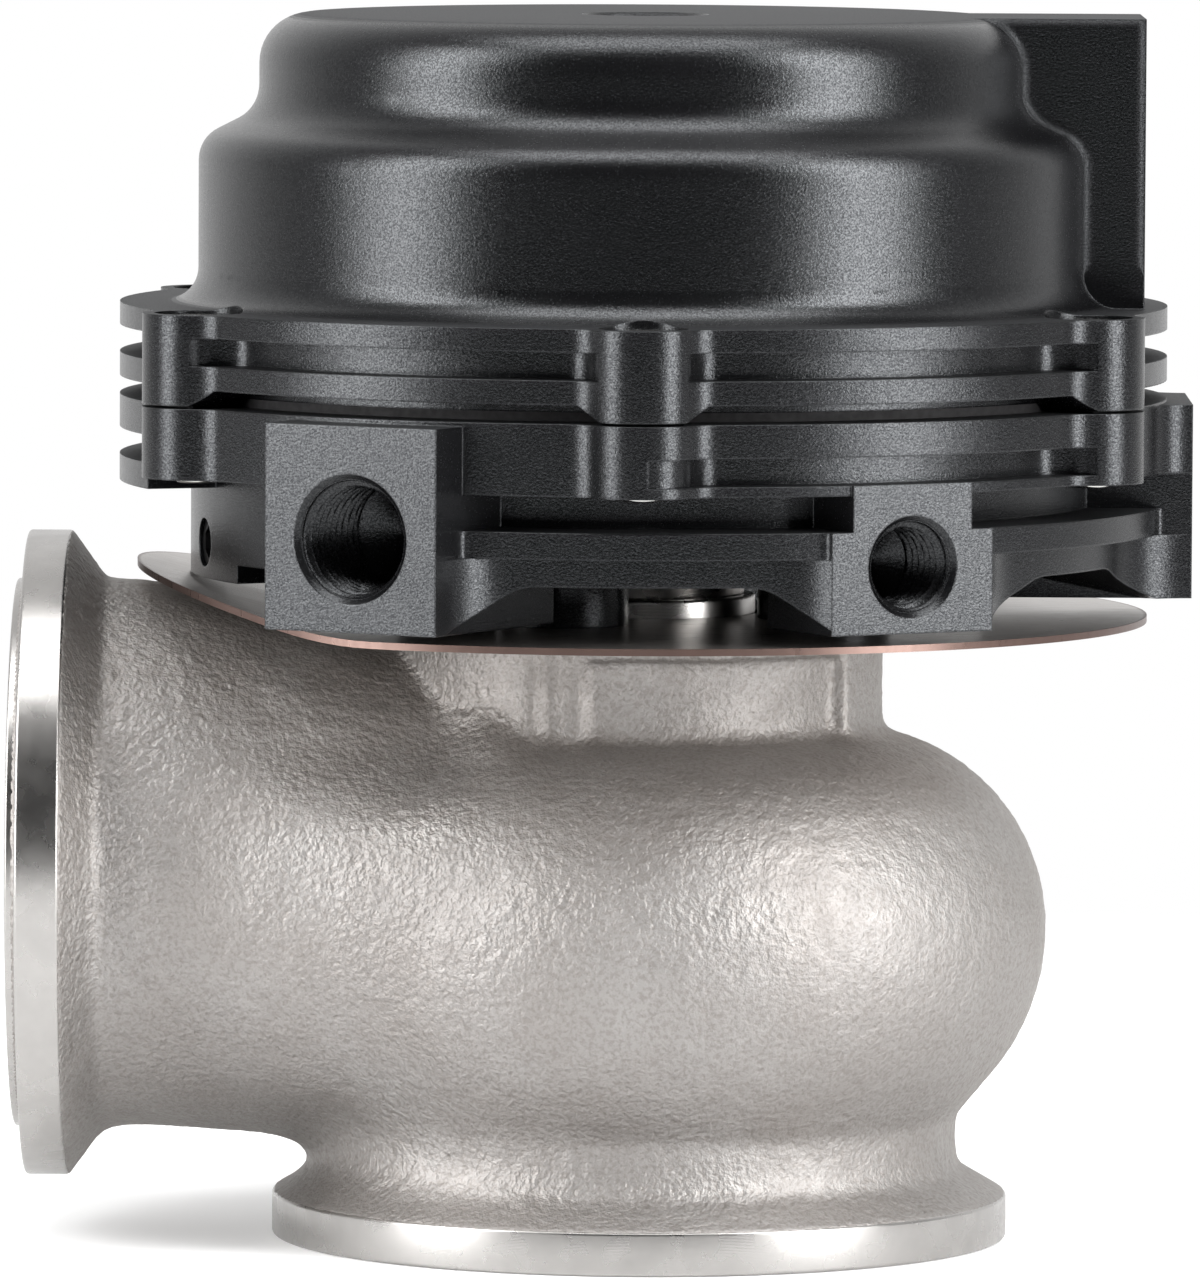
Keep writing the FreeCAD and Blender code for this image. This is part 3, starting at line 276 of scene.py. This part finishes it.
def new_object(name, vertices, faces):
    mesh = bpy.data.meshes.new(name)
    mesh.from_pydata(vertices, [], faces)
    mesh.validate()
    mesh.shade_smooth()
    return linked(name, mesh)


def copy_of(node, name):
    """A free copy of a CAD node's mesh, in the row frame."""
    return linked(name, NODES[node].data.copy())


def weld(obj):
    """Joins the vertices that faces of a CAD mesh share."""
    joined = obj.modifiers.new("weld", "WELD")
    joined.merge_threshold = 1e-6


def crisp(obj, angle=30.0):
    """Smooth shading with hard edges kept sharp."""
    obj.data.shade_smooth()
    split = obj.modifiers.new("crisp", "EDGE_SPLIT")
    split.split_angle = math.radians(angle)


def settle(obj):
    """Applies the object's modifiers to its mesh."""
    graph = bpy.context.evaluated_depsgraph_get()
    mesh = bpy.data.meshes.new_from_object(obj.evaluated_get(graph))
    obj.modifiers.clear()
    obj.data = mesh


def rounded(corners, steps=6):
    """Points along a closed outline of corners (radius, height, fillet)."""
    points = []
    for i, (r, z, fillet) in enumerate(corners):
        here = Vector((r, z))
        if not fillet:
            points.append(here)
            continue
        back = (Vector(corners[i - 1][:2]) - here).normalized()
        ahead = (Vector(corners[(i + 1) % len(corners)][:2]) - here).normalized()
        half = back.angle(ahead) / 2
        reach = fillet / math.tan(half)
        centre = here + (back + ahead).normalized() * (fillet / math.sin(half))
        start = (here + back * reach - centre).normalized()
        end = (here + ahead * reach - centre).normalized()
        points += [centre + start.slerp(end, k / steps, start) * fillet for k in range(steps + 1)]
    return points


def lathe(name, corners, segments=240):
    """Closed ring turned about Z from a closed outline of corners (radius, height, fillet)."""
    outline = rounded(corners)
    vertices, faces = [], []
    n = len(outline)
    for k in range(segments):
        angle = 2 * math.pi * k / segments
        vertices += [(p.x * math.cos(angle), p.x * math.sin(angle), p.y) for p in outline]
    for k in range(segments):
        after = (k + 1) % segments
        for i in range(n):
            j = (i + 1) % n
            faces.append((k * n + i, after * n + i, after * n + j, k * n + j))
    return new_object(name, vertices, faces)


# ---------------------------------------------------------------- smoothing of a dense mesh
def step(values, low, high):
    """Smooth step from 0 at low to 1 at high."""
    t = np.clip((values - low) / (high - low), 0.0, 1.0)
    return t * t * (3 - 2 * t)


def hump(values, middle, width):
    """Bell curve of height 1 at middle, which falls to a third width away."""
    return np.exp(-(((values - middle) / width) ** 2))


def vertex_array(mesh):
    points = np.empty(len(mesh.vertices) * 3)
    mesh.vertices.foreach_get("co", points)
    return points.reshape(-1, 3)


def move_vertices(mesh, points):
    mesh.vertices.foreach_set("co", points.ravel())
    mesh.update()


def neighbour_mean(points, edges, counts):
    total = np.empty_like(points)
    for axis in range(3):
        total[:, axis] = np.bincount(edges[:, 0], points[edges[:, 1], axis], len(points))
        total[:, axis] += np.bincount(edges[:, 1], points[edges[:, 0], axis], len(points))
    return total / counts[:, None]


def relax(mesh, weights, rounds):
    """Laplacian smoothing of a mesh, weighted from 0 to 1 at each vertex."""
    points = vertex_array(mesh)
    edges = np.empty(len(mesh.edges) * 2, int)
    mesh.edges.foreach_get("vertices", edges)
    edges = edges.reshape(-1, 2)
    moving = weights > 1e-3
    edges = edges[moving[edges].any(axis=1)]
    near = np.unique(edges)
    places = np.zeros(len(points), int)
    places[near] = np.arange(len(near))
    edges = places[edges]
    local, share = points[near], (weights * moving)[near][:, None]
    counts = np.bincount(edges.ravel(), minlength=len(near)).astype(float)
    for _ in range(rounds):
        local += (neighbour_mean(local, edges, counts) - local) * share
    points[near] = local
    move_vertices(mesh, points)


# ---------------------------------------------------------------- cast valve body
inlet_rim = MOUNTS["inlet_rim"]["dims"]["r_mm"] * MM
outlet_rim = MOUNTS["outlet_rim"]["dims"]["r_mm"] * MM
rim_width = 2 * MOUNTS["inlet_rim"]["pos_m"][2]
outlet_height = MOUNTS["outlet_rim"]["pos_m"][2]
outlet_plane = MOUNTS["outlet_face"]["pos_m"][0]
neck_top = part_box("valve_body")[1].z
VOXEL = 0.35 * MM
PROFILE_CELL = 0.5 * MM  # height of the bands in which the chamber's own radius is read
MOST_FILL = 6 * MM
CROWN_LIFT = 2.4 * MM
CAST_RELIEF = {"lumps": (1.3 * MM, 0.14 * MM), "grain": (0.7 * MM, 0.10 * MM)}  # size and depth


def flow(points, normals):
    """Fills the valley between pipe and chamber sideways, the way a casting's generous blend does."""
    x, y, z = points.T
    radius = np.hypot(x, y)
    away = x > 0.5 * radius
    rows = np.clip(np.round(z / PROFILE_CELL).astype(int), 0, int(neck_top / PROFILE_CELL) + 1)
    profile = np.zeros(rows.max() + 1)
    np.maximum.at(profile, rows[away], radius[away])
    straight = np.abs(x - 0.7 * outlet_plane) < 2 * MM
    pipe_radius = y[straight].max()
    half_pipe = np.sqrt(np.clip(pipe_radius**2 - (z - outlet_height) ** 2, 0, None))

    start, end = 0.8 * outlet_plane, 2 * MM
    target = half_pipe + (profile[rows] - half_pipe) * step(x, start, end)
    along = (x > start) * step(-x, -1 * MM, 6 * MM)
    level = (1 - step(z, 37 * MM, 46 * MM)) * step(z, 8 * MM, 14 * MM)
    skin = step(np.abs(y), 11 * MM, 16 * MM)
    sideways = step(np.abs(normals[:, 1]), 0.2, 0.6) * (normals[:, 1] * y > 0)
    push = np.clip(target - np.abs(y), 0, MOST_FILL) * skin * (along * level) * sideways
    points[:, 1] += np.sign(y) * push
    return points


def even_skin():
    """The body's CAD mesh as one skin of even, small quads."""
    obj = copy_of("valve_body", "body_casting")
    weld(obj)
    remesh = obj.modifiers.new("remesh", "REMESH")
    remesh.mode = "VOXEL"
    remesh.voxel_size = VOXEL
    settle(obj)
    return obj


def roughen(obj, weights):
    """Real relief of cast metal, where the weights let it."""
    group = obj.vertex_groups.new(name="cast")
    for i, weight in enumerate(weights):
        if weight > 0.02:
            group.add([i], float(weight), "REPLACE")
    for name, (size, depth) in CAST_RELIEF.items():
        texture = bpy.data.textures.new(name, "CLOUDS")
        texture.noise_scale = size
        texture.noise_depth = 2
        push = obj.modifiers.new(name, "DISPLACE")
        push.texture = texture
        push.texture_coords = "LOCAL"
        push.strength = depth
        push.mid_level = 0.5
        push.vertex_group = group.name
    settle(obj)
    obj.data.shade_smooth()


def cast_body():
    """The body as one flowing casting, soft where the pipe, chamber and neck meet, with cast grain."""
    obj = even_skin()
    x, y, z = vertex_array(obj.data).T
    radius = np.hypot(x, y)
    from_outlet = x - (outlet_plane + rim_width)
    off_rims = step(z, rim_width, rim_width + 1.6 * MM) * step(from_outlet, 0.0, 1.6 * MM)
    off_neck = 1 - step(z, neck_top - 1.2 * MM, neck_top - 0.3 * MM)
    relax(obj.data, 0.9 * off_rims * off_neck, 6)

    # the blend of the pipe into the chamber, on both sides
    normals = np.empty(len(x) * 3)
    obj.data.vertex_normals.foreach_get("vector", normals)
    normals = normals.reshape(-1, 3)
    move_vertices(obj.data, flow(vertex_array(obj.data), normals))
    seam = hump(x, -24 * MM, 13 * MM) * (1 - step(z, 36 * MM, 43 * MM))
    relax(obj.data, 0.95 * off_rims * seam, 120)

    # the chamber's foot over the inlet's cone, and the neck's foot on the chamber's crown
    relax(obj.data, 0.9 * off_rims * hump(z, 8 * MM, 2.4 * MM), 30)
    outer = step(normals[:, 0] * x + normals[:, 1] * y + normals[:, 2] * radius, -0.2 * MM, 2 * MM)
    round_neck = step(radius, 18 * MM, 20 * MM) * (1 - step(radius, 25 * MM, 28 * MM)) * outer
    relax(obj.data, 0.9 * round_neck * hump(z, 45 * MM, 1.6 * MM), 24)

    # the crown rises beside the neck, over the pipe
    beside = hump(x, -13.5 * MM, 3.6 * MM) * hump(radius, 22.5 * MM, 4 * MM)
    crown = (1 - step(z, 45 * MM, 50 * MM)) * step(z, 36 * MM, 42 * MM)
    moved = vertex_array(obj.data)
    moved[:, 2] += CROWN_LIFT * beside * outer * crown
    move_vertices(obj.data, moved)
    relax(obj.data, 0.9 * round_neck * step(z, 46 * MM, 48 * MM) * off_neck, 8)
    roughen(obj, off_rims * off_neck)
    return obj


casting = dress(cast_body(), "cast_stainless")
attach(casting, "housing")
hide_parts("valve_body")

# ---------------------------------------------------------------- machined bands over the flanges
SKIN = 0.03 * MM  # a machined band stands this far outside the casting that it covers
OUTLET_BORE = 22.05 * MM
EDGE = 0.3 * MM


def rim_corners(rim, face):
    """A band's outline from its face over the rim and down the clamp's groove, for the rim's radius."""
    return [
        (rim + SKIN, face, EDGE),
        (rim + SKIN, rim_width + SKIN, EDGE),
        (rim - 1.5 * MM, rim_width + SKIN, 0),
        (rim - 2.5 * MM, rim_width - 1 * MM, 0),
    ]


pilot_radius, pilot_depth = (MOUNTS["inlet_pilot"]["dims"][key] * MM for key in ("r_mm", "length_mm"))
inlet_corners = [(pilot_radius, 0.0, 0), *rim_corners(inlet_rim, 0.0), (pilot_radius, pilot_depth, 0)]
inlet_ring = dress(lathe("inlet_rim_band", inlet_corners), "turned_steel")

lip_radius, lip_length = (MOUNTS["outlet_pilot"]["dims"][key] * MM for key in ("r_mm", "length_mm"))
outlet_corners = [
    (OUTLET_BORE, -lip_length - SKIN, 0.2 * MM),
    (lip_radius + SKIN, -lip_length - SKIN, 0.2 * MM),
    (lip_radius + SKIN, -SKIN, 0),
    *rim_corners(outlet_rim, -SKIN),
    (OUTLET_BORE, rim_width - 1 * MM, 0),
]
outlet_ring = dress(lathe("outlet_rim_band", outlet_corners), "rim_steel")
sideways_on = Matrix.Rotation(math.pi / 2, 4, "Y")
outlet_ring.matrix_world = Matrix.Translation((outlet_plane, 0, outlet_height)) @ sideways_on

for ring in (inlet_ring, outlet_ring):
    crisp(ring, 25)
    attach(ring, "housing")

# ---------------------------------------------------------------- threads in the ports
THREAD_PITCH = 25.4 / 27 * MM  # both sizes of port take a taper thread of 27 turns to the inch
THREAD_DEPTH = 0.62 * MM
THREAD_TAPER = 0.12 * MM
THREAD_FIT = 0.02 * MM  # between the port's bore and the foot of the thread
SLEEVE_FIT = 0.004 * MM  # between the port's bore and the sleeve's own outside
STEPS_PER_TURN = 12
THREAD_SIDES = 96


def ridge_height(phase):
    """Height of a thread's section from 0 to 1, over one turn: a V with a narrow flat crest and root."""
    flat = 0.08
    point = 1 - abs(2 * phase - 1)
    return min(1.0, max(0.0, (point - flat) / (1 - 2 * flat)))


def thread(name, mount):
    """Closed sleeve with a helical thread on its inside, lining a port's straight bore."""
    bore, length = (mount["dims"][key] * MM for key in ("r_mm", "length_mm"))
    steps = int(round((length - THREAD_PITCH) / THREAD_PITCH * STEPS_PER_TURN))
    n = THREAD_SIDES
    inner, outer = [], []
    for j in range(steps + 1):
        z = -length / 2 + length * j / steps
        run_out = min(1.0, (z + length / 2) / THREAD_PITCH, (length / 2 - z) / THREAD_PITCH)
        depth = THREAD_DEPTH * max(0.0, run_out)
        foot = bore - THREAD_FIT - THREAD_TAPER * (0.5 - z / length)
        for k in range(n):
            angle = 2 * math.pi * k / n
            across, up = math.cos(angle), math.sin(angle)
            r = foot - depth * ridge_height((z / THREAD_PITCH - k / n) % 1.0)
            inner.append((r * across, r * up, z))
            outer.append(((bore - SLEEVE_FIT) * across, (bore - SLEEVE_FIT) * up, z))
    faces = []
    base, last = len(inner), steps * n
    for j in range(steps):
        for k in range(n):
            a, b = j * n + k, j * n + (k + 1) % n
            faces.append((a, a + n, b + n, b))
            faces.append((base + a, base + b, base + b + n, base + a + n))
    for k in range(n):
        a, b = k, (k + 1) % n
        faces.append((a, b, base + b, base + a))
        faces.append((last + a, base + last + a, base + last + b, last + b))
    obj = new_object(name, inner + outer, faces)
    outwards = Vector(mount["axis"]).to_track_quat("Z", "Y").to_matrix().to_4x4()
    obj.matrix_world = Matrix.Translation(mount["pos_m"]) @ outwards
    crisp(obj, 50)
    dress(obj, "cut_thread")
    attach(obj, "housing")


for mount in RECORD["mounts"]:
    if mount["kind"] == "threaded_hole":
        thread(mount["name"] + "_thread", mount)

# ---------------------------------------------------------------- springs and diaphragm
for name in ("spring_outer", "spring_inner"):
    spring = dress(copy_of(name, name + "_coil"), "spring_steel")
    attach(spring, "housing")
    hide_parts(name)
    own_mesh(spring)

sheet = dress(copy_of("diaphragm", "diaphragm_sheet"), "diaphragm_rubber")
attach(sheet, "housing")
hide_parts("diaphragm")
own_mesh(sheet)

# ---------------------------------------------------------------- CAD nodes that show as they are
for part in RECORD["subparts"]:
    node = NODES[part["node"]]
    if node.hide_render:
        continue
    dress(node, part["material_slot"])
    weld(node)
    crisp(node)

# ---------------------------------------------------------------- floor
FLOOR_RADIUS = 0.7
FLOOR_HEIGHT = -0.05 * MM  # just under the inlet flange's face


def disc(name, radius, height, rings=24, segments=96):
    """Flat disc of quads for the floor."""
    vertices = [(0.0, 0.0, height)]
    for i in range(1, rings + 1):
        for k in range(segments):
            angle, r = 2 * math.pi * k / segments, radius * i / rings
            vertices.append((r * math.cos(angle), r * math.sin(angle), height))
    faces = [(0, 1 + k, 1 + (k + 1) % segments) for k in range(segments)]
    for i in range(rings - 1):
        for k in range(segments):
            a, b = 1 + i * segments + k, 1 + i * segments + (k + 1) % segments
            faces.append((a, a + segments, b + segments, b))
    return new_object(name, vertices, faces)


def pale_floor():
    """Matt pale floor that keeps the part's shadow and fades to white where the camera sees it far out."""
    s = Shader("floor")
    seen = s.add("LightPath").outputs["Is Camera Ray"]
    s.set(Base_Color=s.mix(seen, rgb(0.62, 0.62, 0.62), rgb(0.9, 0.9, 0.9)), Roughness=0.8)
    place = s.split(s.coords)
    fade_out = s.ramp(s.hypotenuse(place[0], place[1]), 0.0, 1.0, 0.10, 0.30)
    glow, lit = (s.add("Emission", {"Color": rgb(1, 1, 1), "Strength": power}) for power in (1.0, 0.24))
    near = s.add("AddShader", {0: s.principled.outputs[0], 1: lit.outputs[0]})
    far = s.maths("MULTIPLY", fade_out, seen)
    cover = s.add("MixShader", {0: far, 1: near.outputs[0], 2: glow.outputs[0]})
    s.wire(cover.outputs[0], s.tree.nodes["Material Output"].inputs["Surface"])
    return s.material


floor = disc("floor", FLOOR_RADIUS, FLOOR_HEIGHT)
floor.data.materials.append(pale_floor())

# ---------------------------------------------------------------- light
MIDDLE = Vector((0, 0, 0.054))
SOFTBOXES = {  # azimuth and elevation in degrees, then distance, width, height and power
    "left_box": (-64, 18, 0.9, 0.40, 1.10, 12),
    "right_box": (57, 18, 0.9, 0.38, 1.10, 14),
    "top_box": (0, 78, 0.9, 0.9, 0.5, 7),
}


def studio_world():
    """White for the camera. For all other rays it is dark behind the camera and bright behind the part."""
    world = bpy.data.worlds.new("studio")
    world.use_nodes = True
    sky = Nodes(world.node_tree)
    direction = sky.split(sky.add("TexCoord").outputs["Generated"])
    fade = sky.ramp(direction[1], 0.02, 0.9, -0.25, 0.7)
    seen = sky.add("LightPath").outputs["Is Camera Ray"]
    background = sky.tree.nodes["Background"]
    background.inputs["Color"].default_value = rgb(1, 1, 1)
    sky.wire(sky.maths("MAXIMUM", fade, seen), background.inputs["Strength"])
    return world


def softbox(name, azimuth, elevation, distance, width, height, power):
    """Area light at an azimuth (0 at the camera, positive to its right) and elevation, aimed at the part."""
    a, e = math.radians(azimuth), math.radians(elevation)
    away = Vector((math.sin(a) * math.cos(e), -math.cos(a) * math.cos(e), math.sin(e)))
    light = bpy.data.lights.new(name, "AREA")
    light.shape = "RECTANGLE"
    light.size, light.size_y = width, height
    light.energy = power
    lamp = linked(name, light)
    lamp.location = MIDDLE + away * distance
    lamp.rotation_euler = away.to_track_quat("Z", "Y").to_euler()


bpy.context.scene.world = studio_world()
for name, settings in SOFTBOXES.items():
    softbox(name, *settings)

# ---------------------------------------------------------------- camera
EYE = Vector((0.0, -1.180, 0.143))
AIM = Vector((-0.0037, 0.0, 0.0523))
ROLL = math.radians(0.3)

camera = bpy.data.cameras.new("camera")
camera.sensor_width = 36.0
camera.lens = 374.0
camera.clip_start = 0.05
viewer = linked("camera", camera)
viewer.location = EYE
viewer.rotation_euler = ((AIM - EYE).to_track_quat("-Z", "Y") @ Quaternion((0, 0, 1), ROLL)).to_euler()
bpy.context.scene.camera = viewer
bpy.context.scene.view_settings.view_transform = "Standard"
